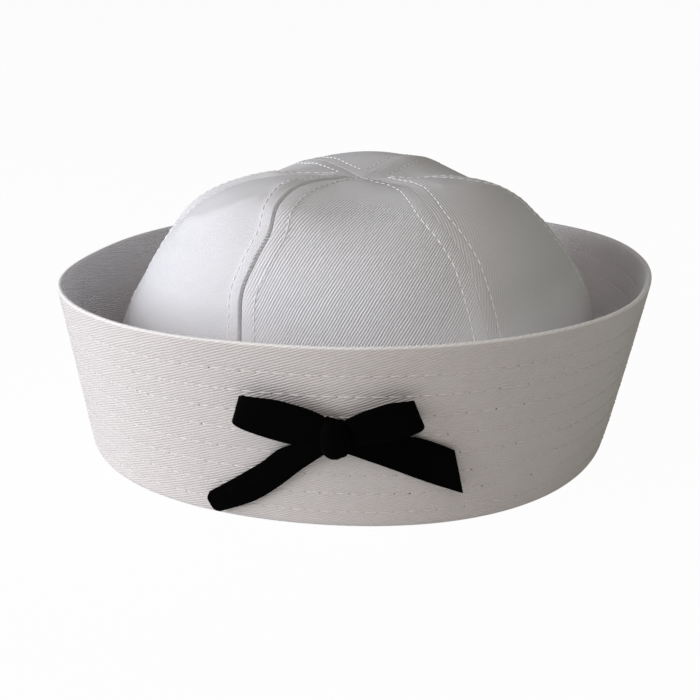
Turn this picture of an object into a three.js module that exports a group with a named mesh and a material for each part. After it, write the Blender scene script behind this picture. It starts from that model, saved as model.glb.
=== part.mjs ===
// A sailor cap: a soft crown of six cotton panels, a tall turned-up brim and a black ribbon bow.
// Millimetres, +Z up, front towards -Y. The origin is on the surface that the cap rests on,
// below the middle of the brim. Azimuths are counted from the front towards +X, in degrees.
import * as THREE from "three";

// The plan of the cap is an oval whose long axis is turned a little about Z, with full shoulders.
const OVAL_TURN = -11.5;
const OVAL_FULLNESS = 0.016;

// Brim: a straight, flaring wall on a fold that lies flat on the surface.
const BRIM_HEIGHT = 62.9;
const BRIM_BASE = { halfWidth: 98.2, halfDepth: 104.2, middleX: -1.4 };
const BRIM_RIM = { halfWidth: 110, halfDepth: 119.3, middleX: 0.7 };
const BRIM_WALL = 2.2;
const BRIM_FOLD_RADIUS = 2.8;
const BRIM_FOOT_WIDTH = 11.5;
const BRIM_FOOT_THICKNESS = 2.4;
const RIM_RISE_PER_X = 0.0186;
const RIM_RISE_PER_Y = -0.0269;
const BRIM_STEPS_AROUND = 96;
const BRIM_STEPS_UP = 2;
const BRIM_STEPS_BEND = 2;

// Crown: sections of a seam from the lower edge to the tip at the middle of the top.
const CROWN_SECTIONS = [
  { radius: 91.6, height: 2.8 },
  { radius: 95.0, height: 25.0 },
  { radius: 91.0, height: 44.9 },
  { radius: 82.3, height: 62.9 },
  { radius: 70.4, height: 80.0 },
  { radius: 53.7, height: 92.9 },
  { radius: 27.6, height: 98.4 },
  { radius: 1.2, height: 96.4 },
];
// How far each seam and each panel's middle stands out from that section, at the side and at the
// top, how deep the cloth is pulled in along the seam, and how many degrees the seam sways at the top.
const CROWN_SEAMS = [
  { azimuth: -30, side: -5.0, top: 2.5, groove: 2.6, sway: -5.2 },
  { azimuth: 30, side: 3.6, top: -2.1, groove: 1.0, sway: 4 },
  { azimuth: 90, side: 3.4, top: -0.5, groove: 1.0, sway: 0 },
  { azimuth: 150, side: -0.1, top: 3.5, groove: 1.0, sway: 0 },
  { azimuth: 210, side: 0.0, top: 0.8, groove: 1.0, sway: 0 },
  { azimuth: 270, side: -0.8, top: -1.5, groove: 1.0, sway: 0 },
];
const CROWN_PANELS = [
  { name: "crown_front", side: -3.0, top: 2.0 },
  { name: "crown_right_front", side: -2.2, top: 1.4 },
  { name: "crown_right_back", side: -2.2, top: -2.3 },
  { name: "crown_back", side: -3.0, top: 3.3 },
  { name: "crown_left_back", side: -2.9, top: -2.7 },
  { name: "crown_left_front", side: -3.2, top: 4.8 },
];
const PANEL_ANGLE = 60;
const CROWN_WALL = 1.2;
const SEAM_GAP = 0.3;
const SEAM_GROOVE_WIDTH = 3;
const SEAM_GROOVE_FADE_RADIUS = 14;
const CROWN_OVAL_RATIO = 1.07;
const CROWN_LEAN_X = 0.026;
const CROWN_LEAN_Y = -0.068;
// Places along the sections, counted in rows of CROWN_SECTIONS, where the offsets and the sway peak.
const SIDE_ROW = 2.62;
const SIDE_SPREAD = 1.1;
const TOP_ROW = 5.14;
const TOP_SPREAD = 1.0;
const SWAY_ROW = 5.1;
const SWAY_SPREAD = 0.8;
const PANEL_STEPS_ACROSS = 12;
const PANEL_STEPS_UP = 16;
const PANEL_EDGE_CROWDING = 0.7;

// Bow: ribbon laid out on the brim's outer face. Edge points are [right, up] from the bow's middle,
// and a path gives the ribbon's place along those edges and its height off the brim.
const BOW_AZIMUTH = -2.4;
const BOW_UP = 34.5;
const BRIM_FRONT_RADIUS = 109;
const RIBBON_THICKNESS = 1.0;
const RIBBON_STEPS_WIDE = 3;
const TAIL_PATH = [
  { along: 0, lift: 2.6 },
  { along: 0.35, lift: 1.5 },
  { along: 0.75, lift: 1.1 },
  { along: 1, lift: 1.9 },
];
const LOOP_PATH = [
  { along: 0, lift: 2.1 },
  { along: 0.4, lift: 1.2 },
  { along: 0.85, lift: 1.1 },
  { along: 1, lift: 3.2 },
  { along: 0.85, lift: 5.4 },
  { along: 0.4, lift: 5.2 },
  { along: 0, lift: 3.8 },
];
const BOW_RIBBONS = [
  {
    name: "bow_loop_left",
    path: LOOP_PATH,
    stepsLong: 20,
    upper: [[-5.6, 9.0], [-12, 11.8], [-21, 13.6], [-29.7, 13.9]],
    lower: [[-5.6, 1.0], [-15.5, -0.8], [-24.7, 0.7], [-32.6, 3.4]],
  },
  {
    name: "bow_loop_right",
    path: LOOP_PATH,
    stepsLong: 20,
    upper: [[4.7, 8.6], [10.8, 11.6], [17.7, 13.5], [21.8, 14.0]],
    lower: [[4.8, 1.1], [13, 1.5], [20, 1.5], [25.4, 2.9]],
  },
  {
    name: "bow_tail_left",
    path: TAIL_PATH,
    stepsLong: 12,
    upper: [[-5.5, -0.4], [-17, -3.9], [-25.4, -10.9], [-34.4, -17.4], [-45.2, -24.8]],
    lower: [[-5.3, -6.0], [-11.2, -11.2], [-19.6, -19], [-28.5, -25.5], [-41.5, -31.3]],
  },
  {
    name: "bow_tail_right",
    path: TAIL_PATH,
    stepsLong: 12,
    upper: [[4.8, 0.2], [14, 0.6], [23, 0.3], [30, -1.9], [37.2, -5.3]],
    lower: [[4.7, -4.8], [11.9, -8.0], [20, -11.6], [30, -16.1], [42.2, -21]],
  },
];
const KNOT_MIDDLE = { right: -0.4, up: 1.4, lift: 3.7 };
const KNOT_HALF = { right: 4.7, up: 6.4, lift: 3.3 };
const KNOT_SQUARENESS = 0.75;
const KNOT_BACK_LIFT = 0.5;
const KNOT_STEPS_AROUND = 16;
const KNOT_STEPS_UP = 10;

const COTTON = new THREE.MeshStandardMaterial({ color: 0xe9e8ea, roughness: 0.95, metalness: 0 });
const VELVET = new THREE.MeshStandardMaterial({ color: 0x0a0a0b, roughness: 0.9, metalness: 0 });

// A point of the turned oval, for half sizes given along its own short and long axes.
function ovalPoint(azimuth, halfWidth, halfDepth) {
  const angle = THREE.MathUtils.degToRad(azimuth - OVAL_TURN);
  const fullness = 1 + OVAL_FULLNESS * (1 - Math.cos(4 * angle));
  const point = new THREE.Vector2(Math.sin(angle) * halfWidth, -Math.cos(angle) * halfDepth);
  return point.multiplyScalar(fullness).rotateAround(new THREE.Vector2(), THREE.MathUtils.degToRad(OVAL_TURN));
}

// A point at a height on the brim, moved outwards by a distance from its outer face.
function brimPoint(azimuth, height, outwards) {
  const rise = height / BRIM_HEIGHT;
  const blend = (size) => THREE.MathUtils.lerp(BRIM_BASE[size], BRIM_RIM[size], rise);
  const plan = ovalPoint(azimuth, blend("halfWidth") + outwards, blend("halfDepth") + outwards);
  const x = plan.x + blend("middleX");
  const tilt = rise * (RIM_RISE_PER_X * x + RIM_RISE_PER_Y * plan.y);
  return new THREE.Vector3(x, plan.y, height + tilt);
}

// Moves every vertex of a geometry to the place that shape gives for it.
function reshape(geometry, shape) {
  const position = geometry.attributes.position;
  const vertex = new THREE.Vector3();
  for (let i = 0; i < position.count; i += 1) {
    const place = shape(vertex.fromBufferAttribute(position, i));
    position.setXYZ(i, place.x, place.y, place.z);
  }
  geometry.computeVertexNormals();
  return geometry;
}

// A thin box of cloth, bent into place: shape takes x, y and z of the flat cloth, each from 0 to 1.
function bentCloth(stepsX, stepsY, shape) {
  const cloth = new THREE.BoxGeometry(1, 1, 1, stepsX, stepsY, 1);
  cloth.translate(0.5, 0.5, 0.5);
  return reshape(cloth, shape);
}

function smoothCurve(points) {
  return new THREE.SplineCurve(points.map(([x, y]) => new THREE.Vector2(x, y)));
}

function piece(name, geometry, material) {
  const mesh = new THREE.Mesh(geometry, material);
  mesh.name = name;
  return mesh;
}

// The brim's section: the flat foot, the fold, the flaring wall and the rounded rim. Its x is the
// distance from the brim's outer face and its y the height.
function brimSection() {
  const section = new THREE.Shape();
  section.moveTo(-BRIM_FOOT_WIDTH, 0);
  section.lineTo(-BRIM_FOLD_RADIUS, 0);
  section.quadraticCurveTo(0, 0, 0, BRIM_FOLD_RADIUS);
  const wallTop = BRIM_HEIGHT - BRIM_WALL / 2;
  for (let step = 1; step <= BRIM_STEPS_UP; step += 1) {
    section.lineTo(0, THREE.MathUtils.lerp(BRIM_FOLD_RADIUS, wallTop, step / BRIM_STEPS_UP));
  }
  section.absarc(-BRIM_WALL / 2, wallTop, BRIM_WALL / 2, 0, Math.PI);
  for (let step = 1; step <= BRIM_STEPS_UP; step += 1) {
    section.lineTo(-BRIM_WALL, THREE.MathUtils.lerp(wallTop, BRIM_FOLD_RADIUS, step / BRIM_STEPS_UP));
  }
  section.quadraticCurveTo(-BRIM_WALL, BRIM_FOOT_THICKNESS, -BRIM_FOLD_RADIUS, BRIM_FOOT_THICKNESS);
  section.lineTo(-BRIM_FOOT_WIDTH, BRIM_FOOT_THICKNESS);
  section.closePath();
  return section.getPoints(BRIM_STEPS_BEND);
}

function makeBrim() {
  const meanRadius = Math.sqrt(BRIM_BASE.halfWidth * BRIM_BASE.halfDepth);
  const profile = brimSection().map((point) => new THREE.Vector2(meanRadius + point.x, point.y));
  const ring = new THREE.LatheGeometry(profile, BRIM_STEPS_AROUND);
  return reshape(ring, ({ x, y, z }) => {
    const azimuth = THREE.MathUtils.radToDeg(Math.atan2(x, z));
    return brimPoint(azimuth, y, Math.hypot(x, z) - meanRadius);
  });
}

const crownSeam = smoothCurve(CROWN_SECTIONS.map(({ radius, height }) => [radius, height]));

function bump(row, middle, spread) {
  return Math.exp(-(((row - middle) / spread) ** 2));
}

function seamAfter(panel) {
  return CROWN_SEAMS[(panel + 1) % CROWN_SEAMS.length];
}

// How far the cloth stands out from the seam's section, across a panel from 0 to 1.
function crownSwell(panel, across, along) {
  const left = CROWN_SEAMS[panel];
  const right = seamAfter(panel);
  const belly = 4 * across * (1 - across);
  const offset = (place) => {
    const chord = THREE.MathUtils.lerp(left[place], right[place], across);
    const middle = (left[place] + right[place]) / 2;
    return chord + belly * (CROWN_PANELS[panel][place] - middle);
  };
  const row = along * (CROWN_SECTIONS.length - 1);
  return offset("side") * bump(row, SIDE_ROW, SIDE_SPREAD) + offset("top") * bump(row, TOP_ROW, TOP_SPREAD);
}

// How far the seams at a panel's two edges pull the cloth in, fading at the tip and the lower edge.
function crownGroove(panel, across, along, radius) {
  const width = radius * THREE.MathUtils.degToRad(PANEL_ANGLE);
  const row = along * (CROWN_SECTIONS.length - 1);
  const fade = Math.min(1, row, radius / SEAM_GROOVE_FADE_RADIUS);
  const left = CROWN_SEAMS[panel].groove * bump(across * width, 0, SEAM_GROOVE_WIDTH);
  const right = seamAfter(panel).groove * bump((1 - across) * width, 0, SEAM_GROOVE_WIDTH);
  return fade * (left + right);
}

function crownPoint(panel, across, along, inwards) {
  const seam = crownSeam.getPoint(along);
  const tangent = crownSeam.getTangent(along);
  const outwards = crownSwell(panel, across, along) - crownGroove(panel, across, along, seam.x) - inwards;
  const radius = seam.x + tangent.y * outwards;
  const height = seam.y - tangent.x * outwards;
  const halfGap = THREE.MathUtils.radToDeg(SEAM_GAP / 2 / seam.x);
  const start = CROWN_SEAMS[panel].azimuth;
  const swayBump = bump(along * (CROWN_SECTIONS.length - 1), SWAY_ROW, SWAY_SPREAD);
  const first = start + CROWN_SEAMS[panel].sway * swayBump + halfGap;
  const last = start + PANEL_ANGLE + seamAfter(panel).sway * swayBump - halfGap;
  const azimuth = THREE.MathUtils.lerp(first, last, across);
  const stretch = Math.sqrt(CROWN_OVAL_RATIO);
  const plan = ovalPoint(azimuth, radius / stretch, radius * stretch);
  const x = BRIM_BASE.middleX + plan.x + CROWN_LEAN_X * height;
  return new THREE.Vector3(x, plan.y + CROWN_LEAN_Y * height, height);
}

function makePanel(panel) {
  return bentCloth(PANEL_STEPS_ACROSS, PANEL_STEPS_UP, ({ x, y, z }) => {
    const crowded = x - (PANEL_EDGE_CROWDING * Math.sin(2 * Math.PI * x)) / (2 * Math.PI);
    return crownPoint(panel, crowded, y, (1 - z) * CROWN_WALL);
  });
}

// A point of the bow, laid on the brim's outer face.
function bowPoint(right, up, lift) {
  const azimuth = BOW_AZIMUTH + THREE.MathUtils.radToDeg(right / BRIM_FRONT_RADIUS);
  const flare = Math.atan2(BRIM_RIM.halfDepth - BRIM_BASE.halfDepth, BRIM_HEIGHT);
  const height = (BOW_UP + up) * Math.cos(flare) - lift * Math.sin(flare);
  return brimPoint(azimuth, height, lift / Math.cos(flare));
}

function makeRibbon({ path, stepsLong, upper, lower }) {
  const runsLeft = upper[0][0] < 0;
  const nearEdge = smoothCurve(runsLeft ? upper : lower);
  const farEdge = smoothCurve(runsLeft ? lower : upper);
  const length = nearEdge.getLength();
  const route = smoothCurve(path.map(({ along, lift }) => [along * length, lift]));
  return bentCloth(stepsLong, RIBBON_STEPS_WIDE, ({ x, y, z }) => {
    const place = route.getPoint(x);
    const tangent = route.getTangent(x);
    const offset = (z - 0.5) * RIBBON_THICKNESS;
    const along = Math.max(0, (place.x - tangent.y * offset) / length);
    const flat = nearEdge.getPoint(along).lerp(farEdge.getPoint(along), y);
    return bowPoint(flat.x, flat.y, place.y + tangent.x * offset);
  });
}

function makeKnot() {
  const ball = new THREE.SphereGeometry(1, KNOT_STEPS_AROUND, KNOT_STEPS_UP);
  const square = (value) => Math.sign(value) * Math.abs(value) ** KNOT_SQUARENESS;
  return reshape(ball, ({ x, y, z }) => {
    const lift = KNOT_MIDDLE.lift + KNOT_HALF.lift * square(z);
    return bowPoint(
      KNOT_MIDDLE.right + KNOT_HALF.right * square(x),
      KNOT_MIDDLE.up + KNOT_HALF.up * square(y),
      Math.max(lift, KNOT_BACK_LIFT),
    );
  });
}

const cap = new THREE.Group();
cap.add(piece("brim", makeBrim(), COTTON));
CROWN_PANELS.forEach(({ name }, panel) => cap.add(piece(name, makePanel(panel), COTTON)));
cap.add(piece("bow_knot", makeKnot(), VELVET));
BOW_RIBBONS.forEach((ribbon) => cap.add(piece(ribbon.name, makeRibbon(ribbon), VELVET)));

export default cap;
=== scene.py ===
# The looks of a white cotton sailor cap with a black velvet bow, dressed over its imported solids.
# Shapes are worked out in millimetres and placed in metres. Front is -Y, +Z is up, and azimuths are
# counted in degrees from the front towards +X.
import bisect
import math

import bmesh
import bpy
from mathutils import Matrix, Vector, noise


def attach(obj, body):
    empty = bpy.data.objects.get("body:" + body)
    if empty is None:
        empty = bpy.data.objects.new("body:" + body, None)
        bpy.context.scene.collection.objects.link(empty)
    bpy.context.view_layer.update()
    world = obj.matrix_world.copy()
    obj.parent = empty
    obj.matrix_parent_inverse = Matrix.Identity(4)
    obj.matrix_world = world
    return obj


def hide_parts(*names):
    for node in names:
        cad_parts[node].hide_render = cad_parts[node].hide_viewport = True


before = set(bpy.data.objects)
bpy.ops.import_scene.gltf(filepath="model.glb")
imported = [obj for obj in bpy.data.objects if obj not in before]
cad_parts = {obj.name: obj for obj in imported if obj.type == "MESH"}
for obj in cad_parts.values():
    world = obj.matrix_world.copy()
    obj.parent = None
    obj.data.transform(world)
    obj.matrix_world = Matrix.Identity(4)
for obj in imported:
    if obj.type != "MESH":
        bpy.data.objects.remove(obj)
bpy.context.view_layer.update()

MM = 0.001
BODY = "root"

# The plan of the cap: an oval whose long axis is turned a little about Z, with full shoulders.
OVAL_TURN = -11.5
OVAL_FULLNESS = 0.016

# Brim.
BRIM_HEIGHT = 62.9
BRIM_BASE = {"half_width": 98.2, "half_depth": 104.2, "middle_x": -1.4}
BRIM_RIM = {"half_width": 110.0, "half_depth": 119.3, "middle_x": 0.7}
BRIM_WALL = 2.2
BRIM_FOLD_RADIUS = 2.8
BRIM_INNER_FOLD_RADIUS = 2.0
BRIM_FOOT_WIDTH = 11.5
BRIM_FOOT_THICKNESS = 2.4
# Further points on the foot's lower and upper face, outwards from the wall's outer face.
FOOT_LOWER_POINTS = (-8.5, -5.5)
FOOT_UPPER_POINT = -7.5
FOLD_STEPS = 6
INNER_FOLD_STEPS = 4
RIM_STEPS = 8
RIM_RISE_PER_X = 0.0186
RIM_RISE_PER_Y = -0.0269
BRIM_STEPS_AROUND = 240
BRIM_SPIN_RADIUS = 101.0
# Slow waves in the brim's wall follow a ring through noise, and fade out below a height.
BRIM_WAVE_HEIGHT = 0.9
BRIM_NOISE_RADIUS = 2.6
BRIM_NOISE_PER_MM = 0.012
BRIM_WAVE_FULL_HEIGHT = 12.0

# Rows of stitches round the brim, counted down from the rim.
STITCH_ROWS = 8
FIRST_ROW_DROP = 9.4
ROW_SPACING = 6.75
ROW_DIP = 0.16
ROW_DIP_WIDTH = 0.9
ROW_MESH_OFFSETS = (-2.6, -1.5, -0.7, 0, 0.7, 1.5, 2.6)
RIM_MESH_DROPS = (2.2, 3.6, 5.0)
STITCHES_ROUND = 134
STITCH_PITCH = 5.0
HOLE_RADIUS = 0.45

# Thread: its rows are tubes that dive into the cloth at every needle hole.
THREAD_RADIUS = 0.23
THREAD_PINCH = 0.5
THREAD_SIDES = 6
THREAD_STEPS = 6
THREAD_JOIN = 0.002
# Height of a thread's middle at a needle hole and halfway between two, in thread radii.
THREAD_DIVE = -1.3
THREAD_CREST = 0.33

# Crown: sections of a seam from the lower edge to the tip at the middle of the top.
CROWN_SECTIONS = [
    {"radius": 91.6, "height": 2.8},
    {"radius": 95.0, "height": 25.0},
    {"radius": 91.0, "height": 44.9},
    {"radius": 82.3, "height": 62.9},
    {"radius": 70.4, "height": 80.0},
    {"radius": 53.7, "height": 92.9},
    {"radius": 27.6, "height": 98.4},
    {"radius": 0.6, "height": 96.4},
]
# How far each seam and each panel's middle stands out from that section at the side, at the top and
# beside the tip, and for a seam its raised band, its crease and the rolled lip left of it.
CROWN_SEAMS = [
    {"azimuth": -30, "side": -5.0, "top": 2.5, "tip": -0.6, "band": 0.3, "crease": 0.55, "lip": 0.5},
    {"azimuth": 30, "side": 1.5, "top": 0.6, "tip": -0.8, "band": 0.08, "crease": 0.02, "lip": 0.0},
    {"azimuth": 90, "side": 3.4, "top": 0.7, "tip": -2.6, "band": 0.1, "crease": 0.2, "lip": 0.0},
    {"azimuth": 150, "side": -0.1, "top": 3.5, "tip": -0.6, "band": 0.1, "crease": 0.15, "lip": 0.0},
    {"azimuth": 210, "side": 0.0, "top": 0.8, "tip": -0.6, "band": 0.1, "crease": 0.15, "lip": 0.0},
    {"azimuth": 270, "side": -0.8, "top": -2.0, "tip": -1.6, "band": 0.2, "crease": 0.6, "lip": 0.0},
]
CROWN_PANELS = [
    {"node": "crown_front", "side": -3.0, "top": -1.0, "tip": 1.0},
    {"node": "crown_right_front", "side": -2.2, "top": 1.4, "tip": 0.0},
    {"node": "crown_right_back", "side": -2.2, "top": -2.3, "tip": -1.2},
    {"node": "crown_back", "side": -3.0, "top": 3.7, "tip": -0.6},
    {"node": "crown_left_back", "side": -2.9, "top": -4.0, "tip": 0.5},
    {"node": "crown_left_front", "side": -3.2, "top": 2.4, "tip": 0.0},
]
# Degrees that a seam's line lies off its azimuth, at every half row from the lower edge up.
SEAM_SWAYS = {
    -30: [0, 0.4, 0.8, 1.2, 1.7, 2.1, 0.4, -0.8, 0.7, 1.8, -1.2, -3.7, -4.4, -4.6, 0],
    30: [0, 0, 0, 0, 0, 0, 0, 0, -0.1, -1.6, -3.6, -0.9, 3.4, 0.2, 0],
}
# Ridges pressed into single panels, along points (share of the way across, row).
CROWN_FOLDS = [
    {
        "panel": 5,
        "line": [(0.91, 5.62), (0.89, 5.33), (0.82, 5.06), (0.7, 4.79), (0.55, 4.5), (0.35, 4.3)],
        "height": 1.4,
        "width": 4.5,
        "round": 1.0,
    },
    {
        "panel": 1,
        "line": [(0.35, 5.67), (0.57, 5.42), (0.9, 5.06)],
        "height": 0.8,
        "width": 4.0,
        "round": 1.2,
    },
    {
        "panel": 4,
        "line": [(0.8, 5.6), (0.82, 5.2), (0.86, 4.2)],
        "height": 2.7,
        "width": 6.0,
        "round": 6.0,
    },
]
FOLD_EDGE = 5.0
PANEL_ANGLE = 60
CROWN_WALL = 1.2
SEAM_GAP = 0.06
PANEL_BELLY_POWER = 1.5
SEAM_FADE_RADIUS = 14.0
CROWN_OVAL_RATIO = 1.07
CROWN_LEAN_X = 0.026
CROWN_LEAN_Y = -0.068
SIDE_ROW = 2.62
SIDE_SPREAD = 1.1
TOP_ROW = 5.14
TOP_SPREAD = 1.0
TIP_ROW = 6.2
TIP_SPREAD = 0.45
PANEL_STEPS_ACROSS = 72
PANEL_STEPS_UP = 120
PANEL_EDGE_CROWDING = 0.8
# Lengths up the crown are kept at a whole number of steps for each step of a panel's mesh.
LENGTH_STEPS = 7 * PANEL_STEPS_UP

# Relief of a crown seam: a raised band of doubled cloth, a crease in its middle and topstitching.
BAND_MARGIN = 0.7
BAND_EDGE = 0.9
CREASE_WIDTH = 0.35
LIP_MIDDLE = 0.8
LIP_NEAR_WIDTH = 0.4
LIP_FAR_WIDTH = 3.4
TOPSTITCH_OFFSET = 4.9
TOPSTITCH_DIP = 0.15
TOPSTITCH_DIP_WIDTH = 0.7
TOPSTITCH_PITCH = 3.2
TOPSTITCH_START = 8.0
TOPSTITCH_END = 7.0
TOPSTITCH_LAST_SHARE = 0.45
PUCKER_HEIGHT = 0.4
PUCKER_LENGTH = 9.0
PUCKER_WIDTH = 8.0
PUCKER_SHIFT_PER_DEGREE = 0.37
WAVE_HEIGHT = 0.5
WAVE_LENGTH = 42.0

# Bow: ribbon laid out on the brim's outer face. Edge points are (right, up) from the bow's middle,
# and a path gives the ribbon's place along those edges and its height off the brim.
BOW_AZIMUTH = -2.4
BOW_UP = 34.5
BRIM_FRONT_RADIUS = 109.0
RIBBON_THICKNESS = 1.0
RIBBON_EDGE = 0.3
RIBBON_EDGE_STEPS = 2
RIBBON_STEPS_WIDE = 14
RIBBON_BULGE_START = 0.8
TAIL_PATH = [(0, 2.6), (0.35, 1.5), (0.75, 1.1), (1, 1.9)]
LOOP_PATH = [(0, 2.1), (0.4, 1.2), (0.85, 1.1), (1, 3.2), (0.85, 5.4), (0.4, 5.2), (0, 3.8)]
BOW_RIBBONS = [
    {
        "node": "bow_loop_left",
        "path": LOOP_PATH,
        "steps": 72,
        "upper": [(-2.4, 9.0), (-10.2, 12.6), (-19.1, 14.9), (-29.8, 15.0)],
        "lower": [(-2.4, -1.6), (-13.5, -0.2), (-22.5, 2.0), (-32.8, 4.8)],
        "end_bulge": 0.0,
    },
    {
        "node": "bow_loop_right",
        "path": LOOP_PATH,
        "steps": 60,
        "upper": [(1.6, 8.4), (9.5, 12.6), (15.5, 14.9), (21.9, 15.2)],
        "lower": [(1.6, -1.0), (11.0, 0.9), (19.0, 2.9), (25.9, 5.2)],
        "end_bulge": 0.0,
    },
    {
        "node": "bow_tail_left",
        "path": TAIL_PATH,
        "steps": 48,
        "upper": [(-3.6, 0.2), (-17, -3.9), (-25.4, -10.9), (-34.4, -17.4), (-45.2, -24.6)],
        "lower": [(-3.4, -4.6), (-11.2, -11.2), (-19.6, -19), (-28.5, -25.5), (-41.5, -31.3)],
        "end_bulge": 2.2,
    },
    {
        "node": "bow_tail_right",
        "path": TAIL_PATH,
        "steps": 48,
        "upper": [(3.2, 0.4), (14, 0.6), (23, 0.3), (30, -1.9), (37.5, -5.2)],
        "lower": [(3.2, -4.2), (11.9, -8.0), (20, -11.6), (30, -16.1), (42.6, -21)],
        "end_bulge": 0.0,
    },
]
# The layer of a loop that lies on the brim is lower at its upper edge, and hidden by the front layer.
BACK_LAYER_DROP = 3.4
BACK_LAYER_LIFT = 1.8
FRONT_LAYER_LIFT = 4.8
KNOT_MIDDLE = {"right": -0.4, "up": 1.4, "lift": 3.7}
KNOT_HALF = {"right": 4.7, "up": 6.4, "lift": 3.3}
KNOT_SQUARENESS = 0.75
KNOT_BACK_LIFT = 0.5
KNOT_LUMP = {"right": -4.2, "spread": 2.6, "rise": 1.8}
KNOT_WRINKLE = {"height": 0.35, "across": 3.2, "upwards": 0.9}
KNOT_STEPS = {"round": 40, "up": 28}

# Twill: ribs at an angle to the cloth's edge, with the floats of single yarns along them.
CROWN_RIB = {"angle": 60, "spacing": 0.94, "depth": 0.28}
BRIM_RIB = {"angle": 19, "spacing": 0.85, "depth": 0.14}
RIB_WANDER = {"scale": 0.12, "detail": 1.0, "height": 0.7}
YARN_FLOAT = {"rate": 0.7, "shift": 0.37, "height": 0.12}
YARN_FUZZ = {"scale": 3.0, "detail": 3.0, "height": 0.35}
# The crown's ribs stand up round this place on its front, and are pressed flat further away. Round it the
# cotton is also painted lighter, with deeper painted shade between the ribs, and further away it is painted
# darker.
RIBBED_MIDDLE = Vector((-1, -80, 76))
RIBBED_RADIUS = 28
PRESSED_RADIUS = 42
PRESSED_SHARE = 0.25
# Painted shade in the needle holes shows in patches.
HOLE_PATCHES = {"scale": 0.21, "detail": 0.0, "power": 3.0, "strength": 2.0}
# Heights from the brim's top, where the painted highlight along its rim begins and where it is full.
RIM_HIGHLIGHT_BAND = {"start": -0.9, "full": -0.4, "strength": 0.9}
THREAD_STRANDS = {"scale": 1400.0, "detail": 2.0, "depth": 0.08}
VELVET_PILE = {"scale": 2600.0, "detail": 3.0, "depth": 0.12}
VELVET_BRUSHING = {"scale": 90.0, "detail": 2.0}

# Colours, in linear light.
# Crown cotton: lighter yarn and painted shade between the ribs round the front, painted darker further
# away.
RIBBED_YARN_LIT = (0.945, 0.945, 0.965)
RIBBED_GAP_SHADE = (0.645, 0.645, 0.665)
PRESSED_YARN_SHADED = (0.77, 0.77, 0.79)
PRESSED_GAP_SHADE = (0.725, 0.725, 0.745)
# Brim cotton: the crown's white cotton painted darker and pinker, a painted shade and a painted pink
# reflected light, with painted shade between the ribs.
BRIM_YARN_SHADED = (0.70, 0.665, 0.65)
BRIM_GAP_SHADE = (0.645, 0.61, 0.595)
# Painted light on the brim's inner face, which is the same cotton.
BRIM_INSIDE_LIT = (0.80, 0.79, 0.81)
# A painted highlight along the top of the brim's rim.
RIM_HIGHLIGHT_COLOUR = (0.93, 0.92, 0.91)
# Painted shade in the needle holes.
HOLE_SHADE_COLOUR = (0.10, 0.09, 0.09)
# Lit and shaded copies of one white thread: painted lighter on the crown and inside the brim, painted
# darker on the brim's outer face.
CROWN_THREAD_LIT = {"dark": (0.86, 0.86, 0.87), "light": (0.97, 0.97, 0.97)}
BRIM_THREAD_SHADED = {"dark": (0.66, 0.63, 0.62), "light": (0.74, 0.71, 0.70)}
INSIDE_THREAD_LIT = {"dark": (0.76, 0.75, 0.77), "light": (0.83, 0.82, 0.84)}
VELVET = {"dark": (0.0006, 0.0006, 0.0006), "light": (0.0016, 0.0016, 0.0015)}
FLOOR_COLOUR = (0.9, 0.9, 0.9)

# Stage: the floor lies a little below the brim's foot, so that the two faces don't coincide, and it
# glows, mostly for the camera. Lights are in metres and watts, turned towards a point over the origin.
FLOOR_GAP = 0.1
FLOOR_HALF_SIZE = 8
FLOOR_GLOW = 0.1
FLOOR_CAMERA_GLOW = 0.87
WORLD = {"strength": 0.08, "colour": (1.0, 1.0, 0.94)}
LIGHT_AIM_HEIGHT = 0.05
LIGHTS = [
    {
        "name": "window",
        "azimuth": -72,
        "elevation": 15,
        "distance": 1.0,
        "size": (1.0, 0.6),
        "power": 9.3,
        "colour": (0.97, 1.0, 1.06),
    },
    {
        "name": "front_fill",
        "azimuth": -8,
        "elevation": 46,
        "distance": 1.2,
        "size": (0.9, 0.9),
        "power": 4.2,
        "colour": (1.0, 0.88, 0.84),
    },
    {
        "name": "right_fill",
        "azimuth": 75,
        "elevation": 25,
        "distance": 1.2,
        "size": (0.9, 0.6),
        "power": 1.0,
        "colour": (0.85, 1.0, 0.75),
    },
]

# Camera, from the photograph: its distance and the point it aims at are in millimetres.
CAMERA_ELEVATION = 17.69
CAMERA_DISTANCE = 495.9
CAMERA_AIM = Vector((-2.7, 0.0, 27.1))
CAMERA_ROLL = 0.83
CAMERA_LENS = 64.63


def lerp(first, last, share):
    return first + (last - first) * share


def bump(place, middle, spread):
    return math.exp(-(((place - middle) / spread) ** 2))


def smooth_step(start, end, value):
    share = min(1.0, max(0.0, (value - start) / (end - start)))
    return share * share * (3 - 2 * share)


def smooth_curve(points):
    """A function of 0 to 1 that passes through the points on a smooth curve."""
    last = len(points) - 1

    def at(place):
        scaled = place * last
        index = min(int(scaled), last)
        part = scaled - index
        before = points[max(index - 1, 0)]
        start = points[index]
        end = points[min(index + 1, last)]
        after = points[min(index + 2, last)]
        result = []
        for axis in range(2):
            slope_in = (end[axis] - before[axis]) / 2
            slope_out = (after[axis] - start[axis]) / 2
            step = start[axis] - end[axis]
            cubic = 2 * step + slope_in + slope_out
            square = -3 * step - 2 * slope_in - slope_out
            result.append(((cubic * part + square) * part + slope_in) * part + start[axis])
        return Vector(result)

    return at


def tangent(curve, place, reach=1e-4):
    low = max(0.0, place - reach)
    high = min(1.0, place + reach)
    return (curve(high) - curve(low)).normalized()


def oval_point(azimuth, half_width, half_depth):
    turn = math.radians(OVAL_TURN)
    angle = math.radians(azimuth) - turn
    fullness = 1 + OVAL_FULLNESS * (1 - math.cos(4 * angle))
    x = math.sin(angle) * half_width * fullness
    y = -math.cos(angle) * half_depth * fullness
    return Vector((x * math.cos(turn) - y * math.sin(turn), x * math.sin(turn) + y * math.cos(turn)))


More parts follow.
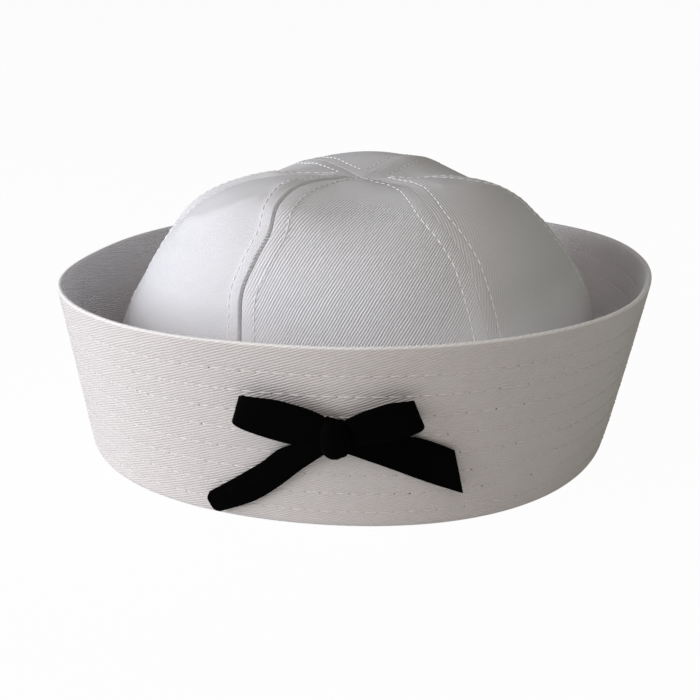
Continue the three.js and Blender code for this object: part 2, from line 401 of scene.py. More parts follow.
def brim_point(azimuth, height, outwards):
    rise = height / BRIM_HEIGHT
    half_width = lerp(BRIM_BASE["half_width"], BRIM_RIM["half_width"], rise) + outwards
    half_depth = lerp(BRIM_BASE["half_depth"], BRIM_RIM["half_depth"], rise) + outwards
    plan = oval_point(azimuth, half_width, half_depth)
    x = plan.x + lerp(BRIM_BASE["middle_x"], BRIM_RIM["middle_x"], rise)
    tilt = rise * (RIM_RISE_PER_X * x + RIM_RISE_PER_Y * plan.y)
    return Vector((x, plan.y, height + tilt))


def surface_normal(surface, first, second, reach=0.01):
    """The outward normal of a surface of two places, by small steps along both."""
    across = surface(first + reach, second) - surface(first - reach, second)
    upwards = surface(first, second + reach) - surface(first, second - reach)
    return across.cross(upwards).normalized()


def finish_piece(bm, name, material, nodes=()):
    bmesh.ops.scale(bm, vec=(MM, MM, MM), verts=bm.verts)
    for face in bm.faces:
        face.smooth = True
    mesh = bpy.data.meshes.new(name)
    bm.to_mesh(mesh)
    bm.free()
    piece = bpy.data.objects.new(name, mesh)
    bpy.context.scene.collection.objects.link(piece)
    mesh.materials.append(material)
    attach(piece, BODY)
    if nodes:
        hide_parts(*nodes)
    return piece


def write_cloth_map(bm, flat):
    """Stores each vertex's place on the flat cloth, in millimetres, as the piece's UV map."""
    layer = bm.loops.layers.uv.new("cloth")
    for face in bm.faces:
        for loop in face.loops:
            loop[layer].uv = flat[loop.vert]


# Brim


def row_height(row):
    return BRIM_HEIGHT - FIRST_ROW_DROP - row * ROW_SPACING


def brim_relief(azimuth, height):
    """How far the brim's cloth stands out from a plain wall, the same on both faces."""
    angle = math.radians(azimuth)
    ring = Vector((math.sin(angle), math.cos(angle), 0)) * BRIM_NOISE_RADIUS
    wave = noise.noise(ring + Vector((0, 0, height * BRIM_NOISE_PER_MM)))
    return BRIM_WAVE_HEIGHT * wave * smooth_step(0, BRIM_WAVE_FULL_HEIGHT, height)


def row_dip(height):
    return sum(ROW_DIP * bump(height, row_height(row), ROW_DIP_WIDTH) for row in range(STITCH_ROWS))


def wall_heights():
    """Heights up the wall, closer together beside each row of stitches."""
    heights = {BRIM_FOLD_RADIUS, BRIM_HEIGHT - BRIM_WALL / 2}
    for row in range(STITCH_ROWS):
        for offset in ROW_MESH_OFFSETS:
            heights.add(row_height(row) + offset)
    for drop in RIM_MESH_DROPS:
        heights.add(BRIM_HEIGHT - drop)
    return sorted(height for height in heights if height >= BRIM_FOLD_RADIUS)


def brim_section():
    """Points (outwards, height) round the brim's section: foot, fold, wall, rim and back down."""
    points = [(outwards, 0) for outwards in (-BRIM_FOOT_WIDTH, *FOOT_LOWER_POINTS)]
    for step in range(FOLD_STEPS + 1):
        angle = math.radians(90 * step / FOLD_STEPS)
        outwards = -BRIM_FOLD_RADIUS * (1 - math.sin(angle))
        points.append((outwards, BRIM_FOLD_RADIUS * (1 - math.cos(angle))))
    heights = wall_heights()
    points += [(-row_dip(height), height) for height in heights[1:-1]]
    half_wall = BRIM_WALL / 2
    for step in range(RIM_STEPS + 1):
        angle = math.radians(180 * step / RIM_STEPS)
        outwards = half_wall * (math.cos(angle) - 1)
        points.append((outwards, BRIM_HEIGHT - half_wall + half_wall * math.sin(angle)))
    points += [(row_dip(height) - BRIM_WALL, height) for height in reversed(heights[1:-1])]
    for step in range(INNER_FOLD_STEPS + 1):
        angle = math.radians(90 * step / INNER_FOLD_STEPS)
        outwards = -BRIM_WALL - BRIM_INNER_FOLD_RADIUS * (1 - math.cos(angle))
        points.append((outwards, BRIM_FOOT_THICKNESS + BRIM_INNER_FOLD_RADIUS * (1 - math.sin(angle))))
    points += [(outwards, BRIM_FOOT_THICKNESS) for outwards in (FOOT_UPPER_POINT, -BRIM_FOOT_WIDTH)]
    return points


def map_brim_cloth(bm):
    """Stores the place on the flat cloth, and which faces are inside, while the brim is still round."""
    cloth = bm.loops.layers.uv.new("cloth")
    inside = bm.faces.layers.float.new("inside")
    length_round = STITCHES_ROUND * STITCH_PITCH
    for face in bm.faces:
        middle = face.calc_center_median()
        middle_turn = math.atan2(middle.x, -middle.y) / math.tau
        for loop in face.loops:
            place = loop.vert.co
            turn = math.atan2(place.x, -place.y) / math.tau
            turn += round(middle_turn - turn)
            drop = BRIM_HEIGHT - place.z + max(0.0, BRIM_SPIN_RADIUS - place.xy.length - BRIM_WALL)
            loop[cloth].uv = (turn * length_round, -drop)
        outwards = middle.xy.length - BRIM_SPIN_RADIUS
        face[inside] = 1.0 if outwards < -BRIM_WALL / 2 else 0.0


def make_brim(material):
    bm = bmesh.new()
    ring = []
    for outwards, height in brim_section():
        ring.append(bm.verts.new((0, -(BRIM_SPIN_RADIUS + outwards), height)))
    edges = [bm.edges.new((ring[i - 1], ring[i])) for i in range(len(ring))]
    bmesh.ops.spin(
        bm,
        geom=ring + edges,
        axis=(0, 0, 1),
        angle=math.tau,
        steps=BRIM_STEPS_AROUND,
        use_merge=True,
    )
    bmesh.ops.recalc_face_normals(bm, faces=bm.faces)
    map_brim_cloth(bm)
    for vert in bm.verts:
        azimuth = math.degrees(math.atan2(vert.co.x, -vert.co.y))
        outwards = vert.co.xy.length - BRIM_SPIN_RADIUS
        vert.co = brim_point(azimuth, vert.co.z, outwards + brim_relief(azimuth, vert.co.z))
    finish_piece(bm, "brim_cloth", material, ["brim"])


def add_thread(total, place, count, closed):
    """Adds a row of stitches: place gives a point, a normal and a sideways direction by stitch number."""
    row = bmesh.new()
    steps = count * THREAD_STEPS
    bmesh.ops.create_grid(row, x_segments=steps, y_segments=THREAD_SIDES, size=0.5)
    places = [place(step / THREAD_STEPS) for step in range(steps + 1)]
    for vert in row.verts:
        step = round((vert.co.x + 0.5) * steps)
        turn = (vert.co.y + 0.5) * math.tau
        point, normal, side = places[step]
        arch = abs(math.sin(math.pi * step / THREAD_STEPS))
        radius = THREAD_RADIUS * lerp(THREAD_PINCH, 1, arch)
        if not closed and step in (0, steps):
            radius = 0.0
        lift = THREAD_RADIUS * lerp(THREAD_DIVE, THREAD_CREST, math.sqrt(arch))
        vert.co = point + normal * (lift + radius * math.cos(turn)) + side * radius * math.sin(turn)
    bmesh.ops.remove_doubles(row, verts=row.verts, dist=THREAD_JOIN)
    bmesh.ops.recalc_face_normals(row, faces=row.faces)
    mesh = bpy.data.meshes.new("row")
    row.to_mesh(mesh)
    row.free()
    total.from_mesh(mesh)
    bpy.data.meshes.remove(mesh)


def make_brim_stitches(name, material, face_offset, facing):
    """All rows of stitches on one face of the brim: facing is 1 for the outer face, -1 for the inner."""
    total = bmesh.new()
    step = 360 / STITCHES_ROUND
    reach = 0.1

    def surface(azimuth, height):
        outwards = face_offset - facing * ROW_DIP + brim_relief(azimuth, height)
        return brim_point(azimuth, height, outwards)

    for row in range(STITCH_ROWS):
        height = row_height(row)

        def place(number):
            azimuth = number * step - 180
            normal = surface_normal(surface, azimuth, height) * facing
            along = surface(azimuth + reach, height) - surface(azimuth - reach, height)
            return surface(azimuth, height), normal, normal.cross(along).normalized()

        add_thread(total, place, STITCHES_ROUND, True)
    finish_piece(total, name, material)


# Crown

crown_seam = smooth_curve([(section["radius"], section["height"]) for section in CROWN_SECTIONS])


def seam_lengths():
    """Lengths along the crown's section from its lower edge, at even steps."""
    lengths = [0.0]
    for step in range(LENGTH_STEPS):
        start = crown_seam(step / LENGTH_STEPS)
        end = crown_seam((step + 1) / LENGTH_STEPS)
        lengths.append(lengths[-1] + (end - start).length)
    return lengths


CROWN_LENGTHS = seam_lengths()


def crown_length(along):
    return CROWN_LENGTHS[round(along * LENGTH_STEPS)]


def crown_along(length):
    """The place along the section, from 0 to 1, at a length from its lower edge."""
    step = bisect.bisect(CROWN_LENGTHS, length)
    start = CROWN_LENGTHS[step - 1]
    return (step - 1 + (length - start) / (CROWN_LENGTHS[step] - start)) / LENGTH_STEPS


def crown_row(along):
    return along * (len(CROWN_SECTIONS) - 1)


def seam_after(panel):
    return CROWN_SEAMS[(panel + 1) % len(CROWN_SEAMS)]


def crown_swell(panel, across, along):
    """How far the cloth stands out from the seam's section, across a panel from 0 to 1."""
    left = CROWN_SEAMS[panel]
    right = seam_after(panel)
    belly = (4 * across * (1 - across)) ** PANEL_BELLY_POWER
    row = crown_row(along)
    total = 0.0
    places = (("side", SIDE_ROW, SIDE_SPREAD), ("top", TOP_ROW, TOP_SPREAD), ("tip", TIP_ROW, TIP_SPREAD))
    for place, middle, spread in places:
        chord = lerp(left[place], right[place], across)
        swell = CROWN_PANELS[panel][place] - (left[place] + right[place]) / 2
        total += (chord + belly * swell) * bump(row, middle, spread)
    return total


SWAY_CURVES = {
    azimuth: smooth_curve([(step / 2, degrees) for step, degrees in enumerate(sways)])
    for azimuth, sways in SEAM_SWAYS.items()
}


def seam_sway(seam, along):
    curve = SWAY_CURVES.get(seam["azimuth"])
    return curve(along).y if curve else 0.0


def panel_edges(panel, along):
    """Azimuths of a panel's left and right edge."""
    half_gap = math.degrees(SEAM_GAP / 2 / crown_seam(along).x)
    start = CROWN_SEAMS[panel]["azimuth"]
    first = start + seam_sway(CROWN_SEAMS[panel], along) + half_gap
    last = start + PANEL_ANGLE + seam_sway(seam_after(panel), along) - half_gap
    return first, last


def flat_place(panel, across, along):
    """A place on the panel's flat cloth, in millimetres from the middle of its lower edge."""
    first, last = panel_edges(panel, along)
    turn = lerp(first, last, across) - CROWN_SEAMS[panel]["azimuth"] - PANEL_ANGLE / 2
    return Vector((math.radians(turn) * crown_seam(along).x, crown_length(along)))


def stitch_offset(seam, side):
    """Distance of the stitches from a seam on its right (0), where its lip lies over, or its left (1)."""
    return TOPSTITCH_OFFSET + (seam["lip"] if side == 0 else 0.0)


def seam_relief(seam, side, distance, length):
    """Height of the cloth at a distance from a seam: doubled, stitched, creased and rolled over."""
    stitched = stitch_offset(seam, side)
    band_end = stitched + BAND_MARGIN
    band = seam["band"] * (1 - smooth_step(band_end - BAND_EDGE, band_end + BAND_EDGE, distance))
    dip = TOPSTITCH_DIP * bump(distance, stitched, TOPSTITCH_DIP_WIDTH)
    shift = seam["azimuth"] * PUCKER_SHIFT_PER_DEGREE
    pucker = noise.noise(Vector((length / PUCKER_LENGTH, shift, 0)))
    pucker *= PUCKER_HEIGHT * bump(distance, stitched, PUCKER_WIDTH)
    crease = seam["crease"] * bump(distance, 0, CREASE_WIDTH)
    lip_width = LIP_NEAR_WIDTH if distance < LIP_MIDDLE else LIP_FAR_WIDTH
    lip = side * seam["lip"] * bump(distance, LIP_MIDDLE, lip_width)
    return band - dip + pucker - crease + lip


def line_distance(point, line):
    """Distance of a flat point from a line of flat points."""
    nearest = math.inf
    for start, end in zip(line, line[1:]):
        along = end - start
        share = (point - start).dot(along) / along.length_squared
        foot = start + along * min(1.0, max(0.0, share))
        nearest = min(nearest, (point - foot).length)
    return nearest


def fold_line(fold):
    last_row = len(CROWN_SECTIONS) - 1
    return [flat_place(fold["panel"], across, row / last_row) for across, row in fold["line"]]


FOLD_LINES = [fold_line(fold) for fold in CROWN_FOLDS]


def fold_relief(panel, across, along):
    """Height of the ridges that are pressed into a panel."""
    total = 0.0
    for fold, line in zip(CROWN_FOLDS, FOLD_LINES):
        if fold["panel"] == panel:
            distance = line_distance(flat_place(panel, across, along), line)
            rounded = math.hypot(distance, fold["round"]) - fold["round"]
            total += fold["height"] * math.exp(-rounded / fold["width"])
    return total


def crown_point(panel, across, along):
    """A place on the outer face of a panel, at shares of the way across and up it."""
    seam = crown_seam(along)
    slope = tangent(crown_seam, along)
    length = crown_length(along)
    first, last = panel_edges(panel, along)
    azimuth = lerp(first, last, across)
    arc = math.radians(1) * seam.x
    relief = seam_relief(CROWN_SEAMS[panel], 0, (azimuth - first) * arc, length)
    relief += seam_relief(seam_after(panel), 1, (last - azimuth) * arc, length)
    edge_distance = min(azimuth - first, last - azimuth) * arc
    relief += fold_relief(panel, across, along) * smooth_step(0, FOLD_EDGE, edge_distance)
    angle = math.radians(azimuth)
    place = Vector((math.sin(angle) * seam.x, -math.cos(angle) * seam.x, seam.y))
    relief += WAVE_HEIGHT * noise.noise(place / WAVE_LENGTH)
    fade = min(1.0, crown_row(along), seam.x / SEAM_FADE_RADIUS)
    outwards = crown_swell(panel, across, along) + fade * relief
    radius = seam.x + slope.y * outwards
    height = seam.y - slope.x * outwards
    stretch = math.sqrt(CROWN_OVAL_RATIO)
    plan = oval_point(azimuth, radius / stretch, radius * stretch)
    x = BRIM_BASE["middle_x"] + plan.x + CROWN_LEAN_X * height
    return Vector((x, plan.y + CROWN_LEAN_Y * height, height))


def make_crown_panel(panel, material):
    bm = bmesh.new()
    bmesh.ops.create_grid(bm, x_segments=PANEL_STEPS_ACROSS, y_segments=PANEL_STEPS_UP, size=0.5)
    flat = {}
    for vert in bm.verts:
        across = vert.co.x + 0.5
        across -= PANEL_EDGE_CROWDING * math.sin(math.tau * across) / math.tau
        along = min(1.0, max(0.0, vert.co.y + 0.5))
        flat[vert] = flat_place(panel, across, along)
        vert.co = crown_point(panel, across, along)
    write_cloth_map(bm, flat)
    node = CROWN_PANELS[panel]["node"]
    piece = finish_piece(bm, node + "_cloth", material, [node])
    wall = piece.modifiers.new("wall", "SOLIDIFY")
    wall.thickness = CROWN_WALL * MM
    wall.offset = -1


def topstitch_across(panel, side, along):
    """How far across a panel its row of stitches lies, beside the left (0) or right (1) seam."""
    first, last = panel_edges(panel, along)
    seam = CROWN_SEAMS[panel] if side == 0 else seam_after(panel)
    degrees = math.degrees(stitch_offset(seam, side) / crown_seam(along).x)
    share = min(TOPSTITCH_LAST_SHARE, degrees / (last - first))
    return share if side == 0 else 1 - share


def make_topstitches(material):
    """Two rows of stitches beside every crown seam."""
    total = bmesh.new()
    count = int((CROWN_LENGTHS[-1] - TOPSTITCH_START - TOPSTITCH_END) / TOPSTITCH_PITCH)
    reach = 0.004
    for panel in range(len(CROWN_PANELS)):
        for side in (0, 1):

            def surface(first, second):
                return crown_point(panel, first, second)

            def place(number):
                along = crown_along(TOPSTITCH_START + number * TOPSTITCH_PITCH)
                across = topstitch_across(panel, side, along)
                normal = surface_normal(surface, across, along, reach)
                ahead = surface(topstitch_across(panel, side, along + reach), along + reach)
                behind = surface(topstitch_across(panel, side, along - reach), along - reach)
                return surface(across, along), normal, normal.cross(ahead - behind).normalized()

            add_thread(total, place, count, False)
    finish_piece(total, "crown_topstitches", material)


# Bow


def bow_point(right, up, lift):
    """A place over the brim's outer face, from the bow's middle."""
    azimuth = BOW_AZIMUTH + math.degrees(right / BRIM_FRONT_RADIUS)
    flare = math.atan2(BRIM_RIM["half_depth"] - BRIM_BASE["half_depth"], BRIM_HEIGHT)
    height = (BOW_UP + up) * math.cos(flare) - lift * math.sin(flare)
    return brim_point(azimuth, height, lift / math.cos(flare) + brim_relief(azimuth, height))


def make_ribbon(ribbon, material):
    runs_left = ribbon["upper"][0][0] < 0
    upper_edge = smooth_curve(ribbon["upper"])
    lower_edge = smooth_curve(ribbon["lower"])
    path = smooth_curve(ribbon["path"])
    is_loop = ribbon["path"] is LOOP_PATH
    bm = bmesh.new()
    bmesh.ops.create_grid(bm, x_segments=ribbon["steps"], y_segments=RIBBON_STEPS_WIDE, size=0.5)
    for vert in bm.verts:
        place = path(min(1.0, max(0.0, vert.co.x + 0.5)))
        height_share = 0.5 - vert.co.y if runs_left else vert.co.y + 0.5
        along = max(0.0, place.x)
        upper = upper_edge(along)
        lower = lower_edge(along)
        if is_loop:
            upper.y -= BACK_LAYER_DROP * (1 - smooth_step(BACK_LAYER_LIFT, FRONT_LAYER_LIFT, place.y))
        point = lower.lerp(upper, height_share)
        bulge = ribbon["end_bulge"] * (1 - (2 * height_share - 1) ** 4)
        bulge *= smooth_step(RIBBON_BULGE_START, 1, along)
        point += bulge * (tangent(upper_edge, along) + tangent(lower_edge, along)).normalized()
        vert.co = bow_point(point.x, point.y, place.y)
    piece = finish_piece(bm, ribbon["node"] + "_velvet", material, [ribbon["node"]])
    pile = piece.modifiers.new("pile", "SOLIDIFY")
    pile.thickness = RIBBON_THICKNESS * MM
    pile.offset = 0
    edge = piece.modifiers.new("edge", "BEVEL")
    edge.width = RIBBON_EDGE * MM
    edge.segments = RIBBON_EDGE_STEPS


def make_knot(material):
    bm = bmesh.new()
    bmesh.ops.create_uvsphere(bm, u_segments=KNOT_STEPS["round"], v_segments=KNOT_STEPS["up"], radius=1)
    fine, coarse = KNOT_WRINKLE["across"], KNOT_WRINKLE["upwards"]
    for vert in bm.verts:
        square = [math.copysign(abs(value) ** KNOT_SQUARENESS, value) for value in vert.co]
        place = Vector((square[0] * fine, square[2] * coarse, square[1] * fine))
        wrinkle = KNOT_WRINKLE["height"] * noise.noise(place)
        right = KNOT_MIDDLE["right"] + (KNOT_HALF["right"] + wrinkle) * square[0]
        up = KNOT_MIDDLE["up"] + (KNOT_HALF["up"] + wrinkle) * square[2]
        up += KNOT_LUMP["rise"] * bump(right, KNOT_LUMP["right"], KNOT_LUMP["spread"]) * max(0.0, square[2])
        lift = KNOT_MIDDLE["lift"] - (KNOT_HALF["lift"] + wrinkle) * square[1]
        vert.co = bow_point(right, up, max(lift, KNOT_BACK_LIFT))
    bmesh.ops.recalc_face_normals(bm, faces=bm.faces)
    finish_piece(bm, "bow_knot_velvet", material, ["bow_knot"])


# Materials


def add_math(tree, operation, *values):
    """A math node whose inputs are sockets or numbers; returns its output."""
    node = tree.nodes.new("ShaderNodeMath")
    node.operation = operation
    for socket, value in zip(node.inputs, values):
        if isinstance(value, bpy.types.NodeSocket):
            tree.links.new(value, socket)
        else:
            socket.default_value = value
    return node.outputs[0]


def add_noise(tree, vector, pattern):
    node = tree.nodes.new("ShaderNodeTexNoise")
    node.inputs["Scale"].default_value = pattern["scale"]
    node.inputs["Detail"].default_value = pattern["detail"]
    tree.links.new(vector, node.inputs["Vector"])
    return node.outputs["Fac"]


def add_range(tree, value, at_zero, at_one):
    """A value that goes smoothly from 0 at one place to 1 at another."""
    node = tree.nodes.new("ShaderNodeMapRange")
    node.interpolation_type = "SMOOTHSTEP"
    node.inputs["From Min"].default_value = at_zero
    node.inputs["From Max"].default_value = at_one
    tree.links.new(value, node.inputs["Value"])
    return node.outputs["Result"]


def separate(tree, vector):
    node = tree.nodes.new("ShaderNodeSeparateXYZ")
    tree.links.new(vector, node.inputs["Vector"])
    return node.outputs["X"], node.outputs["Y"]


def new_group(name, numbers_in, numbers_out):
    """A node group that takes a place on the flat cloth and numbers, and gives numbers."""
    group = bpy.data.node_groups.new(name, "ShaderNodeTree")
    group.interface.new_socket("Cloth", in_out="INPUT", socket_type="NodeSocketVector")
    for number in numbers_in:
        group.interface.new_socket(number, in_out="INPUT", socket_type="NodeSocketFloat")
    for number in numbers_out:
        group.interface.new_socket(number, in_out="OUTPUT", socket_type="NodeSocketFloat")
    inputs = group.nodes.new("NodeGroupInput").outputs
    outputs = group.nodes.new("NodeGroupOutput").inputs
    return group, inputs, outputs


def make_twill_group():
    """Twill weave on flat cloth in millimetres: ribs of yarn that rise to the right at an angle."""
    group, inputs, outputs = new_group("twill_weave", ("Rib Angle", "Rib Spacing"), ("Rib", "Height"))
    cloth = inputs["Cloth"]
    spacing = inputs["Rib Spacing"]
    turned = group.nodes.new("ShaderNodeVectorRotate")
    turned.rotation_type = "Z_AXIS"
    group.links.new(cloth, turned.inputs["Vector"])
    group.links.new(add_math(group, "MULTIPLY", inputs["Rib Angle"], -1.0), turned.inputs["Angle"])
    along_rib, across_rib = separate(group, turned.outputs["Vector"])
    wander = add_math(group, "MULTIPLY", add_noise(group, cloth, RIB_WANDER), RIB_WANDER["height"])
    rib_number = add_math(group, "ADD", add_math(group, "DIVIDE", across_rib, spacing), wander)
    wave = add_math(group, "SINE", add_math(group, "MULTIPLY", rib_number, math.tau))
    rib = add_math(group, "MULTIPLY_ADD", wave, 0.5, 0.5)
    shift = add_math(group, "MULTIPLY", add_math(group, "FLOOR", rib_number), YARN_FLOAT["shift"])
    floats = add_math(group, "MULTIPLY", add_math(group, "DIVIDE", along_rib, spacing), YARN_FLOAT["rate"])
    float_turn = add_math(group, "MULTIPLY", add_math(group, "ADD", floats, shift), math.tau)
    yarn = add_math(group, "MULTIPLY", add_math(group, "SINE", float_turn), YARN_FLOAT["height"])
    fuzz = add_math(group, "MULTIPLY", add_noise(group, cloth, YARN_FUZZ), YARN_FUZZ["height"])
    height = add_math(group, "ADD", add_math(group, "ADD", rib, yarn), fuzz)
    group.links.new(rib, outputs["Rib"])
    group.links.new(height, outputs["Height"])
    return group


def make_hole_group():
    """Needle holes on the brim's cloth: 1 at the middle of a hole, 0 away from it."""
    group, inputs, outputs = new_group("needle_holes", (), ("Hole",))
    around, up = separate(group, inputs["Cloth"])
    row = add_math(group, "ADD", up, FIRST_ROW_DROP)
    squares = []
    for place, spacing in ((around, STITCH_PITCH), (row, ROW_SPACING)):
        distance = add_math(group, "PINGPONG", place, spacing / 2)
        squares.append(add_math(group, "POWER", distance, 2.0))
    distance = add_math(group, "SQRT", add_math(group, "ADD", *squares))
    hole = add_range(group, distance, HOLE_RADIUS, HOLE_RADIUS / 4)
    last_drop = FIRST_ROW_DROP + (STITCH_ROWS - 0.5) * ROW_SPACING
    above_last = add_math(group, "GREATER_THAN", up, -last_drop)
    below_first = add_math(group, "LESS_THAN", up, -FIRST_ROW_DROP / 2)
    in_rows = add_math(group, "MULTIPLY", above_last, below_first)
    group.links.new(add_math(group, "MULTIPLY", hole, in_rows), outputs["Hole"])
    return group


def mix_colour(tree, factor, first, second):
    node = tree.nodes.new("ShaderNodeMix")
    node.data_type = "RGBA"
    tree.links.new(factor, node.inputs["Factor"])
    for socket, value in ((node.inputs["A"], first), (node.inputs["B"], second)):
        if isinstance(value, bpy.types.NodeSocket):
            tree.links.new(value, socket)
        else:
            socket.default_value = (*value, 1)
    return node.outputs["Result"]


def new_material(name):
    material = bpy.data.materials.new(name)
    material.use_nodes = True
    tree = material.node_tree
    return material, tree, tree.nodes["Principled BSDF"]


def cloth_place(tree):
    node = tree.nodes.new("ShaderNodeUVMap")
    node.uv_map = "cloth"
    return node.outputs["UV"]


def object_place(tree):
    return tree.nodes.new("ShaderNodeTexCoord").outputs["Object"]


def add_bump(tree, shader, height, depth):
    node = tree.nodes.new("ShaderNodeBump")
    node.inputs["Strength"].default_value = 1.0
    node.inputs["Distance"].default_value = depth * MM
    tree.links.new(height, node.inputs["Height"])
    tree.links.new(node.outputs["Normal"], shader.inputs["Normal"])


def start_cotton(name, twill, rib):
    """A matt cotton and the outputs of its weave."""
    material, tree, shader = new_material(name)
    shader.inputs["Roughness"].default_value = 0.92
    shader.inputs["Specular IOR Level"].default_value = 0.25
    shader.inputs["Sheen Weight"].default_value = 0.12
    shader.inputs["Sheen Roughness"].default_value = 0.5
    weave = tree.nodes.new("ShaderNodeGroup")
    weave.node_tree = twill
    weave.inputs["Rib Angle"].default_value = math.radians(rib["angle"])
    weave.inputs["Rib Spacing"].default_value = rib["spacing"]
    tree.links.new(cloth_place(tree), weave.inputs["Cloth"])
    return material, tree, shader, weave.outputs


def make_crown_cotton(twill):
    """Cotton whose ribs stand up on the crown's front and are pressed flat away from it; painted lighter
    with deeper painted shade between the ribs on the front, and painted darker away from it.
    """
    material, tree, shader, weave = start_cotton("crown_cotton", twill, CROWN_RIB)
    distance = tree.nodes.new("ShaderNodeVectorMath")
    distance.operation = "DISTANCE"
    distance.inputs[1].default_value = RIBBED_MIDDLE * MM
    tree.links.new(object_place(tree), distance.inputs[0])
    ribbed_and_lit = add_range(tree, distance.outputs["Value"], PRESSED_RADIUS * MM, RIBBED_RADIUS * MM)
    # Painted light and shade: the front is painted lighter with deeper painted shade between the ribs, the
    # rest darker.
    shaded_pressed_colour = mix_colour(tree, weave["Rib"], PRESSED_GAP_SHADE, PRESSED_YARN_SHADED)
    lit_ribbed_colour = mix_colour(tree, weave["Rib"], RIBBED_GAP_SHADE, RIBBED_YARN_LIT)
    colour = mix_colour(tree, ribbed_and_lit, shaded_pressed_colour, lit_ribbed_colour)
    tree.links.new(colour, shader.inputs["Base Color"])
    share = add_math(tree, "MULTIPLY_ADD", ribbed_and_lit, 1 - PRESSED_SHARE, PRESSED_SHARE)
    add_bump(tree, shader, add_math(tree, "MULTIPLY", weave["Height"], share), CROWN_RIB["depth"])
    return material


def make_brim_cotton(twill, holes):
    """Cotton with needle holes, painted darker and pinker than the crown's, with painted shade between its
    ribs and in its holes, a painted highlight along the rim and painted light on the inside.
    """
    material, tree, shader, weave = start_cotton("brim_cotton", twill, BRIM_RIB)
    cloth = cloth_place(tree)
    # Painted shade and painted pink reflected light on the brim's cotton, and painted shade between its
    # ribs.
    colour = mix_colour(tree, weave["Rib"], BRIM_GAP_SHADE, BRIM_YARN_SHADED)
    hole = tree.nodes.new("ShaderNodeGroup")
    hole.node_tree = holes
    tree.links.new(cloth, hole.inputs["Cloth"])
    patches = add_math(tree, "POWER", add_noise(tree, cloth, HOLE_PATCHES), HOLE_PATCHES["power"])
    patches = add_math(tree, "MULTIPLY", patches, HOLE_PATCHES["strength"])
    shown = add_math(tree, "MULTIPLY", hole.outputs["Hole"], patches)
    # Painted shade in the needle holes.
    colour = mix_colour(tree, shown, colour, HOLE_SHADE_COLOUR)
    # A painted highlight along the top of the brim's rim.
    up = separate(tree, cloth)[1]
    rim = add_range(tree, up, RIM_HIGHLIGHT_BAND["start"], RIM_HIGHLIGHT_BAND["full"])
    rim = add_math(tree, "MULTIPLY", rim, RIM_HIGHLIGHT_BAND["strength"])
    colour = mix_colour(tree, rim, colour, RIM_HIGHLIGHT_COLOUR)
    # Painted light: the brim's inner faces are painted paler.
    inside = tree.nodes.new("ShaderNodeAttribute")
    inside.attribute_name = "inside"
    colour = mix_colour(tree, inside.outputs["Fac"], colour, BRIM_INSIDE_LIT)
    tree.links.new(colour, shader.inputs["Base Color"])
    add_bump(tree, shader, weave["Height"], BRIM_RIB["depth"])
    return material


def make_thread(name, colours):
    material, tree, shader = new_material(name)
    shader.inputs["Roughness"].default_value = 0.7
    shader.inputs["Sheen Weight"].default_value = 0.2
    strands = add_noise(tree, object_place(tree), THREAD_STRANDS)
    colour = mix_colour(tree, strands, colours["dark"], colours["light"])
    tree.links.new(colour, shader.inputs["Base Color"])
    add_bump(tree, shader, strands, THREAD_STRANDS["depth"])
    return material


def make_velvet():
    material, tree, shader = new_material("black_velvet")
    shader.inputs["Roughness"].default_value = 0.85
    shader.inputs["Specular IOR Level"].default_value = 0.02
    shader.inputs["Sheen Weight"].default_value = 0.004
    shader.inputs["Sheen Roughness"].default_value = 0.35
    place = object_place(tree)
    brushed = add_noise(tree, place, VELVET_BRUSHING)
    colour = mix_colour(tree, brushed, VELVET["dark"], VELVET["light"])
    tree.links.new(colour, shader.inputs["Base Color"])
    add_bump(tree, shader, add_noise(tree, place, VELVET_PILE), VELVET_PILE["depth"])
    return material


# Stage


def make_floor():
    bm = bmesh.new()
    bmesh.ops.create_grid(bm, x_segments=1, y_segments=1, size=FLOOR_HALF_SIZE)
    bmesh.ops.translate(bm, vec=(0, 0, -FLOOR_GAP * MM), verts=bm.verts)
    mesh = bpy.data.meshes.new("floor")
    bm.to_mesh(mesh)
    bm.free()
    floor = bpy.data.objects.new("floor", mesh)
    bpy.context.scene.collection.objects.link(floor)
    material, tree, shader = new_material("pale_floor")
    shader.inputs["Base Color"].default_value = (*FLOOR_COLOUR, 1)
    shader.inputs["Roughness"].default_value = 1.0
    shader.inputs["Specular IOR Level"].default_value = 0.0
    glow = tree.nodes.new("ShaderNodeEmission")
    glow.inputs["Strength"].default_value = 1.0
    rays = tree.nodes.new("ShaderNodeLightPath")
    share = add_math(tree, "MULTIPLY_ADD", rays.outputs["Is Camera Ray"], FLOOR_CAMERA_GLOW, FLOOR_GLOW)
    mixed = tree.nodes.new("ShaderNodeMixShader")
    tree.links.new(share, mixed.inputs["Fac"])
    tree.links.new(shader.outputs["BSDF"], mixed.inputs[1])
    tree.links.new(glow.outputs["Emission"], mixed.inputs[2])
    tree.links.new(mixed.outputs["Shader"], tree.nodes["Material Output"].inputs["Surface"])
    mesh.materials.append(material)


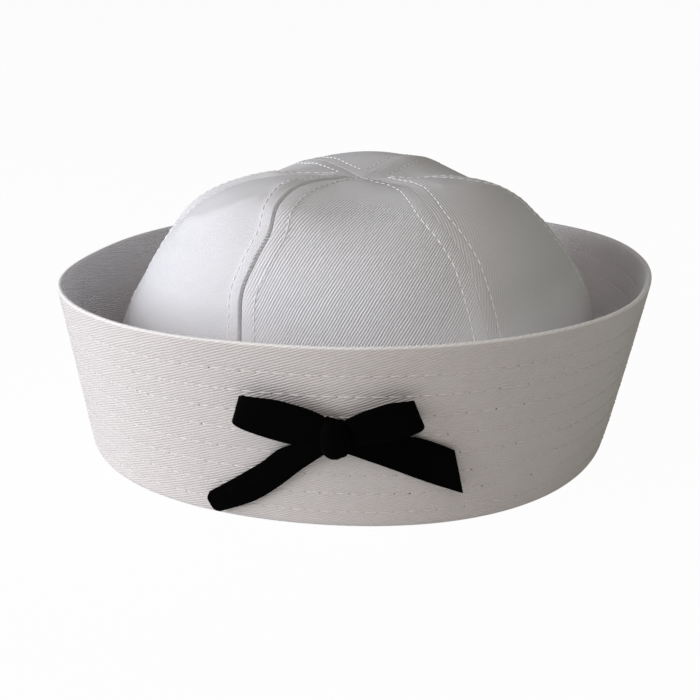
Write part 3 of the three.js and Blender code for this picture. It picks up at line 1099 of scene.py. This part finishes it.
def make_light(light):
    data = bpy.data.lights.new(light["name"], "AREA")
    data.shape = "RECTANGLE"
    data.size, data.size_y = light["size"]
    data.energy = light["power"]
    data.color = light["colour"]
    lamp = bpy.data.objects.new(light["name"], data)
    angle = math.radians(light["azimuth"])
    rise = math.radians(light["elevation"])
    back = Vector((math.sin(angle) * math.cos(rise), -math.cos(angle) * math.cos(rise), math.sin(rise)))
    lamp.location = back * light["distance"] + Vector((0, 0, LIGHT_AIM_HEIGHT))
    lamp.rotation_euler = back.to_track_quat("Z", "Y").to_euler()
    bpy.context.scene.collection.objects.link(lamp)


def make_world():
    world = bpy.data.worlds.new("studio")
    world.use_nodes = True
    background = world.node_tree.nodes["Background"]
    background.inputs["Color"].default_value = (*WORLD["colour"], 1)
    background.inputs["Strength"].default_value = WORLD["strength"]
    bpy.context.scene.world = world


def make_camera():
    data = bpy.data.cameras.new("photo_camera")
    data.lens = CAMERA_LENS
    camera = bpy.data.objects.new("photo_camera", data)
    rise = math.radians(CAMERA_ELEVATION)
    roll = math.radians(CAMERA_ROLL)
    back = Vector((0, -math.cos(rise), math.sin(rise)))
    up = Vector((0, math.sin(rise), math.cos(rise)))
    right = Vector((1, 0, 0))
    rolled_right = right * math.cos(roll) + up * math.sin(roll)
    rolled_up = up * math.cos(roll) - right * math.sin(roll)
    turn = Matrix((rolled_right, rolled_up, back)).transposed().to_4x4()
    place = (CAMERA_AIM + back * CAMERA_DISTANCE) * MM
    camera.matrix_world = Matrix.Translation(place) @ turn
    bpy.context.scene.collection.objects.link(camera)
    bpy.context.scene.camera = camera


# Making

make_camera()
make_floor()
make_world()
for studio_light in LIGHTS:
    make_light(studio_light)
bpy.context.scene.view_settings.view_transform = "Standard"

twill_weave = make_twill_group()
needle_holes = make_hole_group()
crown_cotton = make_crown_cotton(twill_weave)
brim_cotton = make_brim_cotton(twill_weave, needle_holes)
crown_thread = make_thread("crown_thread", CROWN_THREAD_LIT)
brim_thread = make_thread("brim_thread", BRIM_THREAD_SHADED)
inside_thread = make_thread("inside_thread", INSIDE_THREAD_LIT)
velvet = make_velvet()

make_brim(brim_cotton)
make_brim_stitches("brim_stitches_outer", brim_thread, 0.0, 1)
make_brim_stitches("brim_stitches_inner", inside_thread, -BRIM_WALL, -1)
for panel_number in range(len(CROWN_PANELS)):
    make_crown_panel(panel_number, crown_cotton)
make_topstitches(crown_thread)
for bow_ribbon in BOW_RIBBONS:
    make_ribbon(bow_ribbon, velvet)
make_knot(velvet)
